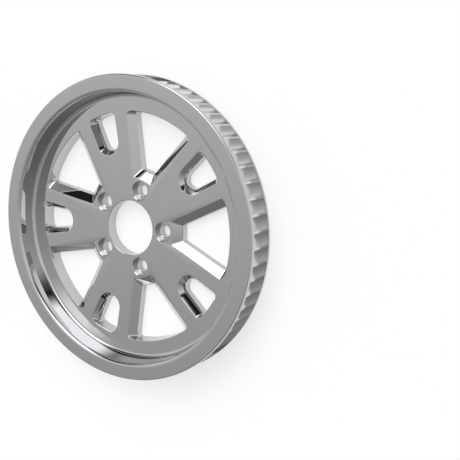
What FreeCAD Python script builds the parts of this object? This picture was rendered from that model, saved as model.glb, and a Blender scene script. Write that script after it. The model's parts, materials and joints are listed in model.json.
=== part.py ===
import FreeCAD, Part
import math
import os

# Toothed belt channel and its two flanges
tooth_count = 61
belt_pitch = 14.0
pitch_line_offset = 1.4
pocket_depth = 2.4
tooth_land = 1.6
belt_channel_width = 24.7
flange_height = 4.25
front_flange_thickness = 3.9
front_flange_bevel = 1.4
back_flange_thickness = 2.4
back_flange_bevel = 0.6

# Dished front
front_ring_width = 15.4
dish_depth = 19.2
dish_draft = 4.4
dish_edge_rounding = 3.3
dish_foot_rounding = 3.2
rounding_flat_count = 4

# Hub
hub_radius = 47.4
bore_radius = 25.4
bore_edge_break = 0.8
bolt_count = 5
bolt_inset = 10.5
bolt_hole_radius = 5.5
counterbore_radius = 8.5
counterbore_depth = 4.2

# Windows in the web
window_margin = 15.9
bevel_depth = 5.7
large_window_apex = 24.3
large_window_half_angle = 25.4
large_window_bevel_width = 7.0
hub_bevel_width = 8.2
large_window_inner_corner = 2.5
u_window_length = 36.8
u_window_end_radius = 12.9
u_window_half_angle = 7.6
u_window_bevel_width = 5.3
window_outer_corner = 5.0
cut_margin = 0.5
reach_tolerance = 0.001

rim_width = belt_channel_width + front_flange_thickness + back_flange_thickness
tip_radius = tooth_count * belt_pitch / (2.0 * math.pi) - pitch_line_offset
flange_radius = tip_radius + flange_height
dish_radius = flange_radius - front_ring_width
dish_foot_radius = dish_radius - dish_depth * math.tan(math.radians(dish_draft))
web_front = rim_width - dish_depth
bolt_circle_radius = hub_radius - bolt_inset
bevel_foot = web_front - bevel_depth
window_outer_radius = dish_foot_radius - window_margin
u_window_end_centre = window_outer_radius - u_window_length + u_window_end_radius
large_window_inner_radius = hub_radius + hub_bevel_width
cut_top = web_front + cut_margin
bevel_low = bevel_foot - cut_margin


def broken_corner(corner, before, after, size, flats):
    """Points that break a section corner over that size with a number of flats along an arc."""
    towards = []
    for neighbour in (before, after):
        direction = neighbour - corner
        direction.normalize()
        towards.append(direction)
    half_angle = towards[0].getAngle(towards[1]) / 2.0
    inwards = towards[0] + towards[1]
    inwards.normalize()
    centre = corner + inwards * (size / math.cos(half_angle))
    first = corner + towards[0] * size - centre
    last = corner + towards[1] * size - centre
    sweep = first.getAngle(last)
    points = []
    for index in range(flats + 1):
        share = index / flats
        spoke = first * math.sin((1.0 - share) * sweep) + last * math.sin(share * sweep)
        points.append(centre + spoke / math.sin(sweep))
    return points


def turned_section(corners):
    """Closed section face in the XZ plane through (radius, height, size, flats) corners."""
    places = [FreeCAD.Vector(radius, 0.0, height) for radius, height, size, flats in corners]
    points = []
    for index, (radius, height, size, flats) in enumerate(corners):
        corner = places[index]
        if flats == 0:
            points.append(corner)
        else:
            after = places[(index + 1) % len(corners)]
            points.extend(broken_corner(corner, places[index - 1], after, size, flats))
    return Part.Face(Part.makePolygon(points + points[:1]))


def turned_body():
    """The pulley as turned, before teeth, windows and holes."""
    front_flange_back = rim_width - front_flange_thickness
    section = turned_section([
        (bore_radius, 0.0, bore_edge_break, 1),
        (bore_radius, web_front, bore_edge_break, 1),
        (dish_foot_radius, web_front, dish_foot_rounding, rounding_flat_count),
        (dish_radius, rim_width, dish_edge_rounding, rounding_flat_count),
        (flange_radius, rim_width, front_flange_bevel, 1),
        (flange_radius, front_flange_back, 0.0, 0),
        (tip_radius, front_flange_back, 0.0, 0),
        (tip_radius, back_flange_thickness, 0.0, 0),
        (flange_radius, back_flange_thickness, 0.0, 0),
        (flange_radius, 0.0, back_flange_bevel, 1),
    ])
    return section.revolve(FreeCAD.Vector(0, 0, 0), FreeCAD.Vector(0, 0, 1), 360.0)


def around(tool, count, first_angle):
    """Copies of a tool spread evenly around the axis."""
    copies = []
    for index in range(count):
        copy = tool.copy()
        angle = first_angle + 360.0 * index / count
        copy.rotate(FreeCAD.Vector(0, 0, 0), FreeCAD.Vector(0, 0, 1), angle)
        copies.append(copy)
    return copies


def tooth_pocket():
    """Scoop between two teeth: a round bar whose lowest line is one pocket depth under the tips."""
    half_gap = math.pi * tip_radius / tooth_count - tooth_land / 2.0
    bar_radius = (half_gap ** 2 + pocket_depth ** 2) / (2.0 * pocket_depth)
    centre = FreeCAD.Vector(tip_radius - pocket_depth + bar_radius, 0.0, back_flange_thickness)
    return Part.makeCylinder(bar_radius, belt_channel_width, centre)


def bolt_hole():
    """Counterbored through hole on the bolt circle."""
    hole_centre = FreeCAD.Vector(bolt_circle_radius, 0.0, -cut_margin)
    hole = Part.makeCylinder(bolt_hole_radius, web_front + 2.0 * cut_margin, hole_centre)
    seat_centre = FreeCAD.Vector(bolt_circle_radius, 0.0, web_front - counterbore_depth)
    seat = Part.makeCylinder(counterbore_radius, counterbore_depth + cut_margin, seat_centre)
    return hole.fuse(seat)


def wedge_block(half_angle, low, high):
    """Block with flat sides that meet at an apex, between two levels given as (height, apex, start)."""
    spread = math.tan(math.radians(half_angle))
    rings = []
    for height, apex, start in (low, high):
        ring = []
        for distance, side in ((start, -1.0), (flange_radius, -1.0), (flange_radius, 1.0), (start, 1.0)):
            ring.append(FreeCAD.Vector(distance, side * spread * (distance - apex), height))
        rings.append(ring)
    lower, upper = rings
    faces = [Part.Face(Part.makePolygon(ring + ring[:1])) for ring in rings]
    for index in range(len(lower)):
        side = [lower[index - 1], lower[index], upper[index], upper[index - 1]]
        faces.append(Part.Face(Part.makePolygon(side + side[:1])))
    block = Part.Solid(Part.Shell(faces))
    if block.Volume < 0.0:
        block.reverse()
    return block


def turned_cutter(low_radius, high_radius, low_height):
    """Round cutter about the pulley's axis, its seam turned away from the window at +X."""
    base = FreeCAD.Vector(0.0, 0.0, low_height)
    if low_radius == high_radius:
        cutter = Part.makeCylinder(low_radius, cut_top - low_height, base)
    else:
        cutter = Part.makeCone(low_radius, high_radius, cut_top - low_height, base)
    cutter.rotate(FreeCAD.Vector(0, 0, 0), FreeCAD.Vector(0, 0, 1), 180.0)
    return cutter


def bevel_inset(height, bevel_width):
    """How far a bevel lies inside the window's edge on the face of the web."""
    return bevel_width * (web_front - height) / bevel_depth


def round_corners(tool, reach, rounding):
    """Rounds the edges that rise where a window's sides meet the arc at that reach."""
    rising = []
    for edge in tool.Edges:
        ends = [vertex.Point for vertex in edge.Vertexes]
        on_arc = all(abs(math.hypot(end.x, end.y) - reach) < reach_tolerance for end in ends)
        if on_arc and abs(ends[0].z - ends[-1].z) > cut_margin:
            rising.append(edge)
    return tool.makeFillet(rounding, rising)


def straight_wedge(half_angle, apex, start, low_height):
    """Upright wedge that ends at the windows' outer arc."""
    wedge = wedge_block(half_angle, (low_height, apex, start), (cut_top, apex, start))
    wedge = wedge.common(turned_cutter(window_outer_radius, window_outer_radius, low_height))
    return wedge.Solids[0]


def large_window():
    """Straight wedge-shaped cut and the wider cut that bevels its sides and inner end."""
    slope = math.sin(math.radians(large_window_half_angle))
    apex = large_window_apex + large_window_bevel_width / slope
    start = apex + cut_margin
    through = straight_wedge(large_window_half_angle, apex, start, -cut_margin)
    through = through.cut(turned_cutter(large_window_inner_radius, large_window_inner_radius, -cut_margin))
    through = round_corners(through.Solids[0], large_window_inner_radius, large_window_inner_corner)
    levels = []
    arcs = []
    for height in (bevel_low, cut_top):
        level_apex = large_window_apex + bevel_inset(height, large_window_bevel_width) / slope
        levels.append((height, level_apex, level_apex + cut_margin))
        arcs.append(hub_radius + bevel_inset(height, hub_bevel_width))
    bevel = wedge_block(large_window_half_angle, *levels)
    edge_start = large_window_apex + cut_margin
    edge = straight_wedge(large_window_half_angle, large_window_apex, edge_start, bevel_low)
    edge = round_corners(edge, window_outer_radius, window_outer_corner)
    bevel = bevel.common(edge)
    bevel = bevel.cut(turned_cutter(arcs[0], arcs[1], bevel_low))
    return through, bevel.Solids[0]


def u_window():
    """Straight round-ended cut and the wider cut that bevels its sides and round end."""
    slope = math.sin(math.radians(u_window_half_angle))
    radius = u_window_end_radius - u_window_bevel_width
    apex = u_window_end_centre - radius / slope
    start = u_window_end_centre - radius * slope
    through = straight_wedge(u_window_half_angle, apex, start, -cut_margin)
    end_centre = FreeCAD.Vector(u_window_end_centre, 0.0, -cut_margin)
    through = through.fuse(Part.makeCylinder(radius, cut_top + cut_margin, end_centre)).removeSplitter()
    levels = []
    radii = []
    for height in (bevel_low, cut_top):
        level_radius = u_window_end_radius - bevel_inset(height, u_window_bevel_width)
        level_apex = u_window_end_centre - level_radius / slope
        levels.append((height, level_apex, u_window_end_centre - level_radius * slope))
        radii.append(level_radius)
    bevel = wedge_block(u_window_half_angle, *levels)
    edge_apex = u_window_end_centre - u_window_end_radius / slope
    edge_start = u_window_end_centre - u_window_end_radius
    edge = straight_wedge(u_window_half_angle, edge_apex, edge_start, bevel_low)
    edge = round_corners(edge, window_outer_radius, window_outer_corner)
    bevel = bevel.common(edge)
    end_centre = FreeCAD.Vector(u_window_end_centre, 0.0, bevel_low)
    round_end = Part.makeCone(radii[0], radii[1], cut_top - bevel_low, end_centre)
    return through, bevel.fuse(round_end).removeSplitter()


def build():
    body = turned_body()
    body = body.cut(around(tooth_pocket(), tooth_count, 90.0))
    body = body.cut(around(bolt_hole(), bolt_count, 0.0))
    for tool in large_window():
        body = body.cut(around(tool, bolt_count, 0.0))
    for tool in u_window():
        body = body.cut(around(tool, bolt_count, 180.0 / bolt_count))
    return body.removeSplitter()


pulley = build()
if not pulley.isValid() or len(pulley.Solids) != 1:
    raise ValueError("the pulley is not one valid solid")

os.makedirs("parts", exist_ok=True)
pulley.Solids[0].exportStep("parts/pulley.step")
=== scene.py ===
import json
import math

import bmesh
import bpy
from bpy.props import FloatProperty, FloatVectorProperty, IntProperty, PointerProperty
from mathutils import Matrix, Vector


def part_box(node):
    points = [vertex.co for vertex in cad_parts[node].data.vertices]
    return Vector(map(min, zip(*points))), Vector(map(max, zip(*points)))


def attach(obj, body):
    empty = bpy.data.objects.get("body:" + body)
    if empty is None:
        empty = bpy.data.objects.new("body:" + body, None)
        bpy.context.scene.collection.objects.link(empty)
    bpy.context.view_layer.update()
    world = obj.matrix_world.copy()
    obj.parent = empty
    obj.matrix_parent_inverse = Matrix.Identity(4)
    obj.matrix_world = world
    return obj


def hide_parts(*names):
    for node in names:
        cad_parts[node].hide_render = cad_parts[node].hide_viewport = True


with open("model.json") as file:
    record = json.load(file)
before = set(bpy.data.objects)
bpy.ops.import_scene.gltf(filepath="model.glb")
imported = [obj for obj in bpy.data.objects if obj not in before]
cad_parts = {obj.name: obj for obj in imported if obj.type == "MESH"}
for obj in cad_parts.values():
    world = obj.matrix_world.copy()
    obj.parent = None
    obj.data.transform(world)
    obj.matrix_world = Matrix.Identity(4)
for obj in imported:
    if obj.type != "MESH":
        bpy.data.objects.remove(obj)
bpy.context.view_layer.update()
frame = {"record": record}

bl_info = {
    "name": "Toothed Belt Pulley",
    "version": (1, 0, 0),
    "blender": (4, 2, 0),
    "location": "3D View > Sidebar > Pulley",
    "description": "Models a chromed belt pulley with bevelled web windows and a plain studio for it",
    "category": "Object",
}

MM = 0.001
UP = Vector((0.0, 0.0, 1.0))
ORIGIN = Vector((0.0, 0.0, 0.0))
CLOSE = 1e-6
PLACE_DIGITS = 6
TOOTH_MARGIN = 0.1 * MM

# Greys of the room that the chrome mirrors, each after its elevation towards +Y in degrees
ROOM_WALLS = [(-90.0, 0.253), (-55.0, 0.266), (-25.0, 0.476), (0.0, 0.711), (25.0, 0.989)]
ROOM_PANEL = [(30.0, 1.36), (36.0, 2.35), (42.0, 2.84), (66.0, 2.84), (75.0, 0.705), (90.0, 0.705)]
ROOM_GAP = [(30.0, 0.742), (35.0, 0.272), (41.0, 0.0495), (46.0, 0.0148), (62.0, 0.0371), (90.0, 0.495)]

mounts = {mount["name"]: mount for mount in frame["record"]["mounts"]}
hub_bolts = mounts["hub_bolts"]["dims"]
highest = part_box("pulley")[1]


def length(name, description, default):
    """A length in metres that a user may change."""
    return FloatProperty(name=name, description=description, default=default, unit="LENGTH", precision=5)


def angle(name, description, degrees):
    """An angle that a user may change, written here in degrees."""
    return FloatProperty(name=name, description=description, default=math.radians(degrees), subtype="ANGLE")


class PulleySizes(bpy.types.PropertyGroup):
    flange_radius: length("Flange radius", "Outer radius of both flanges", highest.x)
    flange_height: length("Flange height", "How far the flanges stand above the teeth", 4.25 * MM)
    rim_width: length("Rim width", "Rim from its back edge to its front face", highest.z)
    front_flange: length("Front flange", "Thickness of the front flange", 3.9 * MM)
    front_rounding: length("Front rounding", "Radius on the front flange's front edge", 1.6 * MM)
    back_flange: length("Back flange", "Thickness of the back flange", 2.4 * MM)
    back_rounding: length("Back rounding", "Radius on the back flange's back edge", 0.6 * MM)
    edge_rounding: length("Edge rounding", "Radius on the flanges' edges beside the belt", 0.3 * MM)
    tooth_count: IntProperty(name="Teeth", description="Teeth around the rim", default=61, min=12)
    pocket_depth: length("Pocket depth", "Depth of the scoop between two teeth", 2.4 * MM)
    tooth_land: length("Tooth land", "Width of a tooth's flat top", 1.6 * MM)
    front_ring_width: length("Front ring width", "Flat ring around the dished front", 15.4 * MM)
    dish_depth: length("Dish depth", "Web's front face below the rim's front face", 19.2 * MM)
    dish_draft: angle("Dish draft", "Lean of the dish wall from the axis", 4.4)
    dish_edge_rounding: length("Dish edge rounding", "Radius from the front ring into the dish", 3.6 * MM)
    dish_foot_rounding: length("Dish foot rounding", "Radius where the dish wall meets the web", 3.5 * MM)
    bore_radius: length("Bore radius", "Radius of the bore", mounts["hub_bore"]["dims"]["r_mm"] * MM)
    bore_rounding: length("Bore rounding", "Radius on the bore's edges", 0.9 * MM)
    bolt_circle: length("Bolt circle", "Diameter of the bolt circle", hub_bolts["pcd_mm"] * MM)
    bolt_hole_radius: length("Bolt hole", "Radius of a bolt hole", hub_bolts["hole_r_mm"] * MM)
    counterbore_radius: length("Counterbore radius", "Radius of the seat for a bolt head", 8.5 * MM)
    counterbore_depth: length("Counterbore depth", "Depth of the seat for a bolt head", 4.2 * MM)
    hole_edge: length("Hole edge", "Break on the holes' edges", 0.35 * MM)


class WindowSizes(bpy.types.PropertyGroup):
    count: IntProperty(
        name="Windows", description="Windows of each kind, and bolt holes", default=hub_bolts["count"]
    )
    outer_radius: length("Outer radius", "Radius of the windows' outer wall at half its height", 106.0 * MM)
    draft: angle("Draft", "Lean of the walls from the axis", 5.0)
    edge: length("Edge", "Break on the windows' edges", 0.5 * MM)
    outer_corner: length("Outer corner", "Radius of the outer corners", 4.2 * MM)
    bevel_depth: length("Bevel depth", "Bevel's foot below the web's face", 5.7 * MM)
    large_apex: length("Large apex", "Where the edges of a large window would meet", 24.3 * MM)
    large_half_angle: angle("Large half angle", "Half the angle between the sides of a large window", 25.4)
    large_bevel: length("Large bevel", "Width of the bevels at a large window's sides", 7.0 * MM)
    large_rounding: length("Large rounding", "Rounded strip at the foot of its bevels", 2.4 * MM)
    hub_radius: length("Hub radius", "Radius of the large windows' inner edges", 47.4 * MM)
    hub_bevel: length("Hub bevel", "Width of the bevel at a large window's inner end", 8.2 * MM)
    inner_corner: length("Inner corner", "Radius of a large window's inner corners", 1.2 * MM)
    slot_half_angle: angle("Slot half angle", "Half the angle between a round-ended window's sides", 7.6)
    slot_end_centre: length("Slot end centre", "The round end's centre from the axis", 82.1 * MM)
    slot_end_radius: length("Slot end radius", "Radius of the round end's edge", 12.9 * MM)
    slot_bevel: length("Slot bevel", "Width of the bevels of a round-ended window", 5.3 * MM)
    slot_rounding: length("Slot rounding", "Rounded strip at the foot of its bevels", 4.4 * MM)


class ChromeFinish(bpy.types.PropertyGroup):
    colour: FloatVectorProperty(
        name="Chrome", description="Colour of the chrome plate", subtype="COLOR", default=(0.55, 0.55, 0.56)
    )
    dull_colour: FloatVectorProperty(
        name="Dulled chrome", description="Colour where the plate is a little dulled", subtype="COLOR",
        default=(0.52, 0.52, 0.53),
    )
    gloss: FloatProperty(name="Gloss", description="Roughness where the plate is brightest", default=0.015)
    haze: FloatProperty(name="Haze", description="Roughness where the plate is dulled", default=0.05)
    satin_colour: FloatVectorProperty(
        name="Satin colour", description="Colour of the tooth ring between the flanges", subtype="COLOR",
        default=(0.7, 0.7, 0.71),
    )
    satin: FloatProperty(name="Satin", description="Roughness of the tooth ring", default=0.22)
    patch_scale: FloatProperty(name="Patch scale", description="Scale of the dulled patches", default=38.0)
    patch_detail: FloatProperty(name="Patch detail", description="Detail of the dulled patches", default=3.0)
    haze_start: FloatProperty(name="Haze start", description="Noise at which the haze starts", default=0.35)
    haze_full: FloatProperty(name="Haze full", description="Noise at which the haze is full", default=0.75)


class StudioSetup(bpy.types.PropertyGroup):
    camera_place: FloatVectorProperty(
        name="Camera place", description="Where the camera stands", subtype="TRANSLATION",
        default=(0.4148, 0.11633, 0.54259),
    )
    camera_turn: FloatVectorProperty(
        name="Camera turn", description="The camera's XYZ rotation", subtype="EULER",
        default=(math.radians(-9.496), math.radians(32.422), math.radians(0.825)),
    )
    camera_lens: FloatProperty(name="Lens", description="Focal length in millimetres", default=57.82)
    camera_shift: FloatVectorProperty(
        name="Shift", description="The camera's sideways and upward shift", size=2, default=(0.06, 0.0)
    )
    floor_radius: length("Floor radius", "Radius of the round floor", 16.0)
    backdrop_height: length("Backdrop height", "How far the floor's edge sweeps up", 1.8)
    floor_colour: FloatVectorProperty(
        name="Floor", description="Colour of the floor", subtype="COLOR", default=(0.5, 0.5, 0.5)
    )
    floor_glow: FloatProperty(
        name="Floor glow", description="White that the floor shows of itself", default=0.56
    )
    lamp_power: FloatProperty(
        name="Lamp power", description="Power of the overhead lamp", default=3.0, unit="POWER"
    )
    lamp_size: length("Lamp size", "Side of the overhead lamp", 1.6)
    lamp_height: length("Lamp height", "Overhead lamp above the floor", 1.6)
    panel_half_angle: angle("Panel half angle", "Half the angle that the room's white panel takes up", 35.0)
    panel_blur: angle("Panel blur", "How far the white panel fades to each side of its edges", 7.0)


def smooth_shaded(piece_mesh, sharp_angle):
    """Shades a mesh smooth, with its corners kept sharp."""
    piece_mesh.shade_smooth()
    piece_mesh.set_sharp_from_angle(angle=sharp_angle)


def linked_object(name, piece_mesh):
    """A new object for a mesh, linked to the scene."""
    piece = bpy.data.objects.new(name, piece_mesh)
    bpy.context.scene.collection.objects.link(piece)
    return piece


def finished_mesh(name, bm):
    """A mesh made from a bmesh, which is then freed."""
    piece_mesh = bpy.data.meshes.new(name)
    bm.to_mesh(piece_mesh)
    bm.free()
    return piece_mesh


def round_corner(bm, corner, radius, segments):
    """Rounds one corner of a flat section to a radius."""
    sides = [edge.other_vert(corner).co - corner.co for edge in corner.link_edges]
    reach = radius / math.tan(sides[0].angle(sides[1]) / 2.0)
    bmesh.ops.bevel(
        bm, geom=[corner], offset=reach, offset_type="OFFSET", affect="VERTICES",
        segments=segments, profile=0.5, material=-1,
    )


class TurnedSection:
    """Heights and radii of the pulley's section, worked out from its sizes."""

    def __init__(self, sizes):
        self.tip_radius = sizes.flange_radius - sizes.flange_height
        self.web_front = sizes.rim_width - sizes.dish_depth
        self.channel_front = sizes.rim_width - sizes.front_flange
        self.channel_back = sizes.back_flange
        dish_radius = sizes.flange_radius - sizes.front_ring_width
        dish_foot = dish_radius - sizes.dish_depth * math.tan(sizes.dish_draft)
        self.corners = [
            (sizes.bore_radius, 0.0, sizes.bore_rounding),
            (sizes.bore_radius, self.web_front, sizes.bore_rounding),
            (dish_foot, self.web_front, sizes.dish_foot_rounding),
            (dish_radius, sizes.rim_width, sizes.dish_edge_rounding),
            (sizes.flange_radius, sizes.rim_width, sizes.front_rounding),
            (sizes.flange_radius, self.channel_front, sizes.edge_rounding),
            (self.tip_radius, self.channel_front, 0.0),
            (self.tip_radius, self.channel_back, 0.0),
            (sizes.flange_radius, self.channel_back, sizes.edge_rounding),
            (sizes.flange_radius, 0.0, sizes.back_rounding),
        ]


class PULLEY_OT_chrome_pulley(bpy.types.Operator):
    """Turns the pulley, scoops its teeth, cuts its windows and bolt holes and plates it with chrome"""

    bl_idname = "pulley.chrome_pulley"
    bl_label = "Chrome Pulley"

    steps_per_tooth = 12
    corner_segments = 6
    hole_segments = 64
    arc_segments = 24
    corner_room = 1.5
    corner_reach = 0.8
    cut_margin = 1.0 * MM
    sharp_angle = math.radians(28.0)

    def execute(self, context):
        self.sizes = context.scene.pulley_sizes
        self.windows = context.scene.pulley_windows
        self.section = TurnedSection(self.sizes)
        body = linked_object("chrome_pulley", self.turned_body())
        large_window = self.window_cutter(self.large_outline, self.windows.large_rounding)
        round_ended_window = self.window_cutter(self.slot_outline, self.windows.slot_rounding)
        step = 2.0 * math.pi / self.windows.count
        cutters = [
            self.cutters("large_windows", large_window, 0.0, step),
            self.cutters("round_ended_windows", round_ended_window, step / 2.0, step),
            self.cutters("bolt_holes", self.bolt_cutter(), 0.0, step),
        ]
        for cutter in cutters:
            cut = body.modifiers.new(cutter.name, "BOOLEAN")
            cut.operation = "DIFFERENCE"
            cut.solver = "EXACT"
            cut.object = cutter
        body.data = self.applied(context, body)
        for cutter in cutters:
            bpy.data.objects.remove(cutter)
        smooth_shaded(body.data, self.sharp_angle)
        flat = body.modifiers.new("Flat faces stay flat", "WEIGHTED_NORMAL")
        flat.mode = "FACE_AREA"
        flat.weight = 100
        flat.keep_sharp = True
        body.data = self.applied(context, body)
        body.data.materials.clear()
        body.data.materials.append(chrome_material(context.scene.pulley_chrome, self.sizes, self.section))
        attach(body, "root")
        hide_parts("pulley")
        return {"FINISHED"}

    @staticmethod
    def applied(context, piece):
        """The mesh of a piece with its modifiers applied, which are then cleared."""
        finished = bpy.data.meshes.new_from_object(piece.evaluated_get(context.evaluated_depsgraph_get()))
        piece.modifiers.clear()
        return finished

    def turned_body(self):
        """The section spun about the axis, with its tooth ring scooped."""
        bm = bmesh.new()
        corners = self.section.corners
        verts = [bm.verts.new((radius, 0.0, height)) for radius, height, rounding in corners]
        bm.faces.new(verts)
        for vert, (radius, height, rounding) in zip(verts, corners):
            if rounding > 0.0:
                round_corner(bm, vert, rounding, self.corner_segments)
        bmesh.ops.delete(bm, geom=bm.faces[:], context="FACES_ONLY")
        bmesh.ops.spin(
            bm, geom=bm.verts[:] + bm.edges[:], cent=ORIGIN, axis=UP, angle=2.0 * math.pi,
            steps=self.sizes.tooth_count * self.steps_per_tooth, use_merge=True,
        )
        self.scoop_teeth(bm)
        bmesh.ops.recalc_face_normals(bm, faces=bm.faces[:])
        return finished_mesh("chrome_pulley", bm)

    def scoop_teeth(self, bm):
        """Moves the tooth ring onto round scoops, a scoop centred on +Y."""
        tip = self.section.tip_radius
        count = self.sizes.tooth_count
        depth = self.sizes.pocket_depth
        half_gap = math.pi * tip / count - self.sizes.tooth_land / 2.0
        bar_radius = (half_gap ** 2 + depth ** 2) / (2.0 * depth)
        bar_centre = tip - depth + bar_radius
        half_pocket = math.acos((tip ** 2 + bar_centre ** 2 - bar_radius ** 2) / (2.0 * tip * bar_centre))
        last_step = self.steps_per_tooth // 2 - 1
        for vert in bm.verts:
            if abs(math.hypot(vert.co.x, vert.co.y) - tip) > CLOSE:
                continue
            turn = math.atan2(vert.co.y, vert.co.x) - math.pi / 2.0
            step = round(turn * count * self.steps_per_tooth / (2.0 * math.pi))
            tooth = math.floor(step / self.steps_per_tooth + 0.5)
            step -= tooth * self.steps_per_tooth
            if abs(step) > last_step:
                continue
            swing = half_pocket * step / last_step
            aside = bar_centre * math.sin(swing)
            reach = bar_centre * math.cos(swing) - math.sqrt(bar_radius ** 2 - aside ** 2)
            place = math.pi / 2.0 + 2.0 * math.pi * tooth / count + swing
            vert.co.x = reach * math.cos(place)
            vert.co.y = reach * math.sin(place)

    def cutters(self, name, cutter, first, step):
        """A solid to cut away, repeated around the axis."""
        bm = bmesh.new()
        cutter.transform(Matrix.Rotation(first, 4, "Z"))
        for index in range(self.windows.count):
            bm.from_mesh(cutter)
            cutter.transform(Matrix.Rotation(step, 4, "Z"))
        bm.to_mesh(cutter)
        bm.free()
        return linked_object(name, cutter)

    @staticmethod
    def side_meets(apex, half_angle, radius):
        """Angle about the axis at which a window's side reaches a radius."""
        run = math.sqrt(radius ** 2 - (apex * math.sin(half_angle)) ** 2) - apex * math.cos(half_angle)
        return math.atan2(run * math.sin(half_angle), apex + run * math.cos(half_angle))

    def arc(self, centre, radius, first, last):
        """Points on an arc about a centre on the X axis."""
        steps = self.arc_segments
        turns = [first + (last - first) * index / steps for index in range(steps + 1)]
        return [Vector((centre + radius * math.cos(turn), radius * math.sin(turn), 0.0)) for turn in turns]

    def cornered_arc(self, radius, first, last, corner):
        """An arc about the axis between two sharp corners, with room left beside each to round it."""
        room = math.copysign(self.corner_room * corner / radius, last - first)
        ends = self.arc(0.0, radius, first, last)
        return [ends[0], *self.arc(0.0, radius, first + room, last - room), ends[-1]]

    def large_outline(self, share, shift, outer_radius):
        """Outline of a large window set in by a share of its bevels and a shift, and corner radii."""
        windows = self.windows
        side_inset = windows.large_bevel * share + shift
        apex = windows.large_apex + side_inset / math.sin(windows.large_half_angle)
        inner = windows.hub_radius + windows.hub_bevel * share + shift
        inner_turn = self.side_meets(apex, windows.large_half_angle, inner)
        outer_turn = self.side_meets(apex, windows.large_half_angle, outer_radius)
        inner_end = self.cornered_arc(inner, inner_turn, -inner_turn, windows.inner_corner)
        outer_end = self.cornered_arc(outer_radius, -outer_turn, outer_turn, windows.outer_corner)
        corners = {0: windows.inner_corner, len(inner_end) - 1: windows.inner_corner}
        corners[len(inner_end)] = windows.outer_corner
        corners[len(inner_end) + len(outer_end) - 1] = windows.outer_corner
        return inner_end + outer_end, corners

    def slot_outline(self, share, shift, outer_radius):
        """Outline of a round-ended window set in by a share of its bevels and a shift, and corner radii."""
        windows = self.windows
        radius = windows.slot_end_radius - windows.slot_bevel * share - shift
        apex = windows.slot_end_centre - radius / math.sin(windows.slot_half_angle)
        outer_turn = self.side_meets(apex, windows.slot_half_angle, outer_radius)
        tangent = math.pi / 2.0 + windows.slot_half_angle
        round_end = self.arc(windows.slot_end_centre, radius, tangent, 2.0 * math.pi - tangent)
        outer_end = self.cornered_arc(outer_radius, -outer_turn, outer_turn, windows.outer_corner)
        corners = {len(round_end): windows.outer_corner}
        corners[len(round_end) + len(outer_end) - 1] = windows.outer_corner
        return round_end + outer_end, corners

    def window_levels(self):
        """Heights of a window's rings, each with the share of the bevels and the shift that set it in."""
        windows = self.windows
        front = self.section.web_front
        foot = front - windows.bevel_depth
        lean = math.tan(windows.draft)
        slope = math.atan2(windows.bevel_depth, windows.large_bevel)
        edge = windows.edge
        return [
            (-self.cut_margin, 1.0, lean * (foot / 2.0 + self.cut_margin)),
            (foot, 1.0, -lean * foot / 2.0),
            (front - edge * math.sin(slope), 0.0, edge * math.cos(slope)),
            (front, 0.0, -edge),
            (front + self.cut_margin, 0.0, -edge),
        ]

    def outer_wall(self, level):
        """Radius of the windows' drafted outer wall at a height, with its front edge broken."""
        front = self.section.web_front
        radius = self.windows.outer_radius + math.tan(self.windows.draft) * (level - front / 2.0)
        return radius + (self.windows.edge if level > front - CLOSE else 0.0)

    def rounded_edges(self, bm, edges, offset):
        """Rounds edges, from an offset to each side of them."""
        bmesh.ops.bevel(
            bm, geom=edges, offset=offset, offset_type="OFFSET", affect="EDGES",
            segments=self.corner_segments, profile=0.5, material=-1,
        )

    def stacked_rings(self, bm, outline, levels):
        """Closed solid raised from level to level, as a list of its rings, and the corners to round."""
        rings = []
        for level, share, shift in levels:
            points, corners = outline(share, shift, self.outer_wall(level))
            if rings:
                places = {vert.co.to_tuple(PLACE_DIGITS): index for index, vert in enumerate(rings[-1])}
                raised = bmesh.ops.extrude_face_region(bm, geom=[cap])["geom"]
                if cap.is_valid and len(rings) > 1:
                    bm.faces.remove(cap)
                cap = next(item for item in raised if isinstance(item, bmesh.types.BMFace))
                rings.append(sorted(cap.verts, key=lambda vert: places[vert.co.to_tuple(PLACE_DIGITS)]))
            else:
                rings.append([bm.verts.new((point.x, point.y, level)) for point in points])
                cap = bm.faces.new(rings[0])
            for vert, point in zip(rings[-1], points):
                vert.co = (point.x, point.y, level)
        return rings, corners

    def window_cutter(self, outline, rounding):
        """Solid that runs up through the web and flares above the bevel's foot."""
        levels = self.window_levels()
        foot = levels[1][0]
        bm = bmesh.new()
        rings, corners = self.stacked_rings(bm, outline, levels)
        for radius in set(corners.values()):
            edges = []
            for column in (index for index in corners if corners[index] == radius):
                stack = [ring[column] for ring in rings]
                edges += [bm.edges.get(pair) for pair in zip(stack, stack[1:])]
            self.rounded_edges(bm, edges, radius * self.corner_reach)
        at_foot = {vert for vert in bm.verts if abs(vert.co.z - foot) < CLOSE}
        foot_edges = [edge for edge in bm.edges if at_foot.issuperset(edge.verts)]
        self.rounded_edges(bm, foot_edges, rounding / 2.0)
        bmesh.ops.recalc_face_normals(bm, faces=bm.faces[:])
        return finished_mesh("window_cutter", bm)

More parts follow.
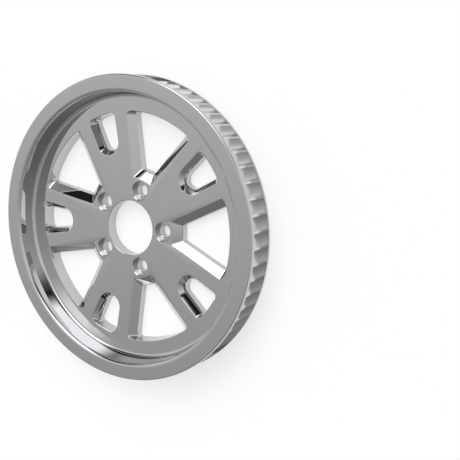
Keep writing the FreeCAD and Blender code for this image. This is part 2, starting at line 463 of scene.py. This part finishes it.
    def bolt_cutter(self):
        """Stepped solid of one bolt hole and its counterbore, with broken edges."""
        sizes = self.sizes
        front = self.section.web_front
        seat = front - sizes.counterbore_depth
        edge = sizes.hole_edge
        centre = Vector((sizes.bolt_circle / 2.0, 0.0, 0.0))
        profile = [
            (0.0, -self.cut_margin),
            (sizes.bolt_hole_radius, -self.cut_margin),
            (sizes.bolt_hole_radius, seat - edge),
            (sizes.bolt_hole_radius + edge, seat),
            (sizes.counterbore_radius, seat),
            (sizes.counterbore_radius, front - edge),
            (sizes.counterbore_radius + edge + self.cut_margin, front + self.cut_margin),
            (0.0, front + self.cut_margin),
        ]
        bm = bmesh.new()
        verts = [bm.verts.new(centre + Vector((radius, 0.0, height))) for radius, height in profile]
        edges = [bm.edges.new(pair) for pair in zip(verts, verts[1:])]
        bmesh.ops.spin(
            bm, geom=verts + edges, cent=centre, axis=UP, angle=2.0 * math.pi,
            steps=self.hole_segments, use_merge=True,
        )
        bmesh.ops.remove_doubles(bm, verts=bm.verts[:], dist=CLOSE)
        bmesh.ops.recalc_face_normals(bm, faces=bm.faces[:])
        return finished_mesh("bolt_cutter", bm)


class PULLEY_OT_studio(bpy.types.Operator):
    """Sets the floor, the soft overhead lamp, the room that the chrome mirrors and the camera"""

    bl_idname = "pulley.studio"
    bl_label = "Studio"

    floor_segments = 96
    sweep_segments = 8

    def execute(self, context):
        setup = context.scene.pulley_studio
        self.floor(setup)
        self.lamp(context, setup)
        self.camera(context, setup)
        context.scene.world = studio_world(setup)
        context.scene.view_settings.view_transform = "Standard"
        return {"FINISHED"}

    def floor(self, setup):
        """A round floor whose edge sweeps up into a low backdrop."""
        bm = bmesh.new()
        bmesh.ops.create_circle(bm, cap_ends=True, segments=self.floor_segments, radius=setup.floor_radius)
        rim = [edge for edge in bm.edges if edge.is_boundary]
        raised = bmesh.ops.extrude_edge_only(bm, edges=rim)["geom"]
        raised_verts = [item for item in raised if isinstance(item, bmesh.types.BMVert)]
        bmesh.ops.translate(bm, vec=UP * setup.backdrop_height, verts=raised_verts)
        bmesh.ops.bevel(
            bm, geom=rim, offset=setup.backdrop_height / 2.0, offset_type="OFFSET", affect="EDGES",
            segments=self.sweep_segments, profile=0.5, material=-1,
        )
        floor_mesh = finished_mesh("floor", bm)
        floor_mesh.materials.append(floor_material(setup))
        linked_object("floor", floor_mesh)

    def lamp(self, context, setup):
        """A wide soft lamp over the pulley, which the chrome doesn't mirror."""
        lamp_data = bpy.data.lights.new("overhead_lamp", "AREA")
        lamp_data.energy = setup.lamp_power
        lamp_data.size = setup.lamp_size
        lamp = bpy.data.objects.new("overhead_lamp", lamp_data)
        lamp.location = (0.0, 0.0, setup.lamp_height)
        lamp.visible_glossy = False
        context.scene.collection.objects.link(lamp)

    def camera(self, context, setup):
        """The camera that looks down on the dished front."""
        camera_data = bpy.data.cameras.new("camera")
        camera_data.lens = setup.camera_lens
        camera_data.shift_x, camera_data.shift_y = setup.camera_shift
        camera = bpy.data.objects.new("camera", camera_data)
        camera.location = setup.camera_place
        camera.rotation_euler = setup.camera_turn
        context.scene.collection.objects.link(camera)
        context.scene.camera = camera


def math_node(nodes, operation):
    """A Math node set to an operation."""
    node = nodes.new("ShaderNodeMath")
    node.operation = operation
    return node


def tooth_ring_mask(nodes, links, place, sizes, section):
    """One on the tooth ring between the flanges, and zero on the rest of the pulley."""
    axes = nodes.new("ShaderNodeSeparateXYZ")
    links.new(place.outputs["Object"], axes.inputs["Vector"])
    flat = nodes.new("ShaderNodeVectorMath")
    flat.operation = "MULTIPLY"
    flat.inputs[1].default_value = (1.0, 1.0, 0.0)
    links.new(place.outputs["Object"], flat.inputs[0])
    radius = nodes.new("ShaderNodeVectorMath")
    radius.operation = "LENGTH"
    links.new(flat.outputs["Vector"], radius.inputs[0])
    near_teeth = math_node(nodes, "COMPARE")
    near_teeth.inputs[1].default_value = section.tip_radius - sizes.pocket_depth / 2.0
    near_teeth.inputs[2].default_value = sizes.pocket_depth / 2.0 + TOOTH_MARGIN
    links.new(radius.outputs["Value"], near_teeth.inputs[0])
    between_flanges = math_node(nodes, "COMPARE")
    between_flanges.inputs[1].default_value = (section.channel_front + section.channel_back) / 2.0
    between_flanges.inputs[2].default_value = (section.channel_front - section.channel_back) / 2.0
    links.new(axes.outputs["Z"], between_flanges.inputs[0])
    mask = math_node(nodes, "MULTIPLY")
    links.new(near_teeth.outputs["Value"], mask.inputs[0])
    links.new(between_flanges.outputs["Value"], mask.inputs[1])
    return mask


def chrome_material(finish, sizes, section):
    """Mirror chrome, a little dulled in broad soft patches, and a brighter satin on the tooth ring."""
    material = bpy.data.materials.new("mirror_chrome")
    material.use_nodes = True
    nodes = material.node_tree.nodes
    links = material.node_tree.links
    shader = nodes["Principled BSDF"]
    shader.inputs["Metallic"].default_value = 1.0
    place = nodes.new("ShaderNodeTexCoord")
    patches = nodes.new("ShaderNodeTexNoise")
    patches.inputs["Scale"].default_value = finish.patch_scale
    patches.inputs["Detail"].default_value = finish.patch_detail
    links.new(place.outputs["Object"], patches.inputs["Vector"])
    colour = nodes.new("ShaderNodeMix")
    colour.data_type = "RGBA"
    colour.inputs["A"].default_value = (*finish.colour, 1.0)
    colour.inputs["B"].default_value = (*finish.dull_colour, 1.0)
    links.new(patches.outputs["Fac"], colour.inputs["Factor"])
    tooth_ring = tooth_ring_mask(nodes, links, place, sizes, section)
    ring_colour = nodes.new("ShaderNodeMix")
    ring_colour.data_type = "RGBA"
    ring_colour.inputs["B"].default_value = (*finish.satin_colour, 1.0)
    links.new(tooth_ring.outputs["Value"], ring_colour.inputs["Factor"])
    links.new(colour.outputs["Result"], ring_colour.inputs["A"])
    links.new(ring_colour.outputs["Result"], shader.inputs["Base Color"])
    haze = nodes.new("ShaderNodeMapRange")
    haze.inputs["From Min"].default_value = finish.haze_start
    haze.inputs["From Max"].default_value = finish.haze_full
    haze.inputs["To Min"].default_value = finish.gloss
    haze.inputs["To Max"].default_value = finish.haze
    links.new(patches.outputs["Fac"], haze.inputs["Value"])
    ring_haze = nodes.new("ShaderNodeMix")
    ring_haze.inputs["B"].default_value = finish.satin
    links.new(tooth_ring.outputs["Value"], ring_haze.inputs["Factor"])
    links.new(haze.outputs["Result"], ring_haze.inputs["A"])
    links.new(ring_haze.outputs["Result"], shader.inputs["Roughness"])
    return material


def floor_material(setup):
    """Pale paper that takes a soft shadow, with a glow that the camera, mirrors and glass show."""
    material = bpy.data.materials.new("white_floor")
    material.use_nodes = True
    nodes = material.node_tree.nodes
    links = material.node_tree.links
    nodes.remove(nodes["Principled BSDF"])
    paper = nodes.new("ShaderNodeBsdfDiffuse")
    paper.inputs["Color"].default_value = (*setup.floor_colour, 1.0)
    glow = nodes.new("ShaderNodeEmission")
    seen = nodes.new("ShaderNodeLightPath")
    mirrored = math_node(nodes, "MAXIMUM")
    links.new(seen.outputs["Is Glossy Ray"], mirrored.inputs[0])
    links.new(seen.outputs["Is Transmission Ray"], mirrored.inputs[1])
    visible = math_node(nodes, "MAXIMUM")
    links.new(seen.outputs["Is Camera Ray"], visible.inputs[0])
    links.new(mirrored.outputs["Value"], visible.inputs[1])
    strength = math_node(nodes, "MULTIPLY")
    strength.inputs[1].default_value = setup.floor_glow
    links.new(visible.outputs["Value"], strength.inputs[0])
    links.new(strength.outputs["Value"], glow.inputs["Strength"])
    both = nodes.new("ShaderNodeAddShader")
    links.new(paper.outputs["BSDF"], both.inputs[0])
    links.new(glow.outputs["Emission"], both.inputs[1])
    links.new(both.outputs["Shader"], nodes["Material Output"].inputs["Surface"])
    return material


def tone_ramp(nodes, stops):
    """A ramp of greys through (elevation in degrees, tone) stops, for how far a direction leans to +Y."""
    ramp = nodes.new("ShaderNodeValToRGB")
    elements = ramp.color_ramp.elements
    while len(elements) < len(stops):
        elements.new(0.5)
    for element, (elevation, tone) in zip(elements, stops):
        element.position = (1.0 + math.sin(math.radians(elevation))) / 2.0
        element.color = (tone, tone, tone, 1.0)
    return ramp


def studio_world(setup):
    """Room of soft greys that lightens towards +Y, with a white panel there and dark gaps beside it."""
    world = bpy.data.worlds.new("studio_room")
    world.use_nodes = True
    nodes = world.node_tree.nodes
    links = world.node_tree.links
    place = nodes.new("ShaderNodeTexCoord")
    axes = nodes.new("ShaderNodeSeparateXYZ")
    links.new(place.outputs["Generated"], axes.inputs["Vector"])
    height = nodes.new("ShaderNodeMapRange")
    height.inputs["From Min"].default_value = -1.0
    height.inputs["From Max"].default_value = 1.0
    links.new(axes.outputs["Y"], height.inputs["Value"])
    panel = tone_ramp(nodes, ROOM_WALLS + ROOM_PANEL)
    gap = tone_ramp(nodes, ROOM_WALLS + ROOM_GAP)
    for ramp in (panel, gap):
        links.new(height.outputs["Result"], ramp.inputs["Fac"])
    heading = math_node(nodes, "ARCTAN2")
    links.new(axes.outputs["X"], heading.inputs[0])
    links.new(axes.outputs["Z"], heading.inputs[1])
    aside = math_node(nodes, "ABSOLUTE")
    links.new(heading.outputs["Value"], aside.inputs[0])
    beside = nodes.new("ShaderNodeMapRange")
    beside.interpolation_type = "SMOOTHSTEP"
    beside.inputs["From Min"].default_value = setup.panel_half_angle - setup.panel_blur
    beside.inputs["From Max"].default_value = setup.panel_half_angle + setup.panel_blur
    links.new(aside.outputs["Value"], beside.inputs["Value"])
    room = nodes.new("ShaderNodeMix")
    room.data_type = "RGBA"
    links.new(beside.outputs["Result"], room.inputs["Factor"])
    links.new(panel.outputs["Color"], room.inputs["A"])
    links.new(gap.outputs["Color"], room.inputs["B"])
    links.new(room.outputs["Result"], nodes["Background"].inputs["Color"])
    return world


class PULLEY_PT_sidebar(bpy.types.Panel):
    """Sizes, finish and studio of the pulley, with a button for each"""

    bl_idname = "PULLEY_PT_sidebar"
    bl_label = "Toothed Belt Pulley"
    bl_space_type = "VIEW_3D"
    bl_region_type = "UI"
    bl_category = "Pulley"

    def draw(self, context):
        scene = context.scene
        for group in (scene.pulley_sizes, scene.pulley_windows, scene.pulley_chrome):
            for name in group.__annotations__:
                self.layout.prop(group, name)
        self.layout.operator(PULLEY_OT_chrome_pulley.bl_idname)
        for name in scene.pulley_studio.__annotations__:
            self.layout.prop(scene.pulley_studio, name)
        self.layout.operator(PULLEY_OT_studio.bl_idname)


CLASSES = (
    PulleySizes, WindowSizes, ChromeFinish, StudioSetup,
    PULLEY_OT_chrome_pulley, PULLEY_OT_studio, PULLEY_PT_sidebar,
)


def register():
    for cls in CLASSES:
        bpy.utils.register_class(cls)
    bpy.types.Scene.pulley_sizes = PointerProperty(type=PulleySizes)
    bpy.types.Scene.pulley_windows = PointerProperty(type=WindowSizes)
    bpy.types.Scene.pulley_chrome = PointerProperty(type=ChromeFinish)
    bpy.types.Scene.pulley_studio = PointerProperty(type=StudioSetup)


def unregister():
    del bpy.types.Scene.pulley_studio
    del bpy.types.Scene.pulley_chrome
    del bpy.types.Scene.pulley_windows
    del bpy.types.Scene.pulley_sizes
    for cls in reversed(CLASSES):
        bpy.utils.unregister_class(cls)


def main():
    register()
    bpy.ops.pulley.chrome_pulley()
    bpy.ops.pulley.studio()


if __name__ == "__main__":
    main()
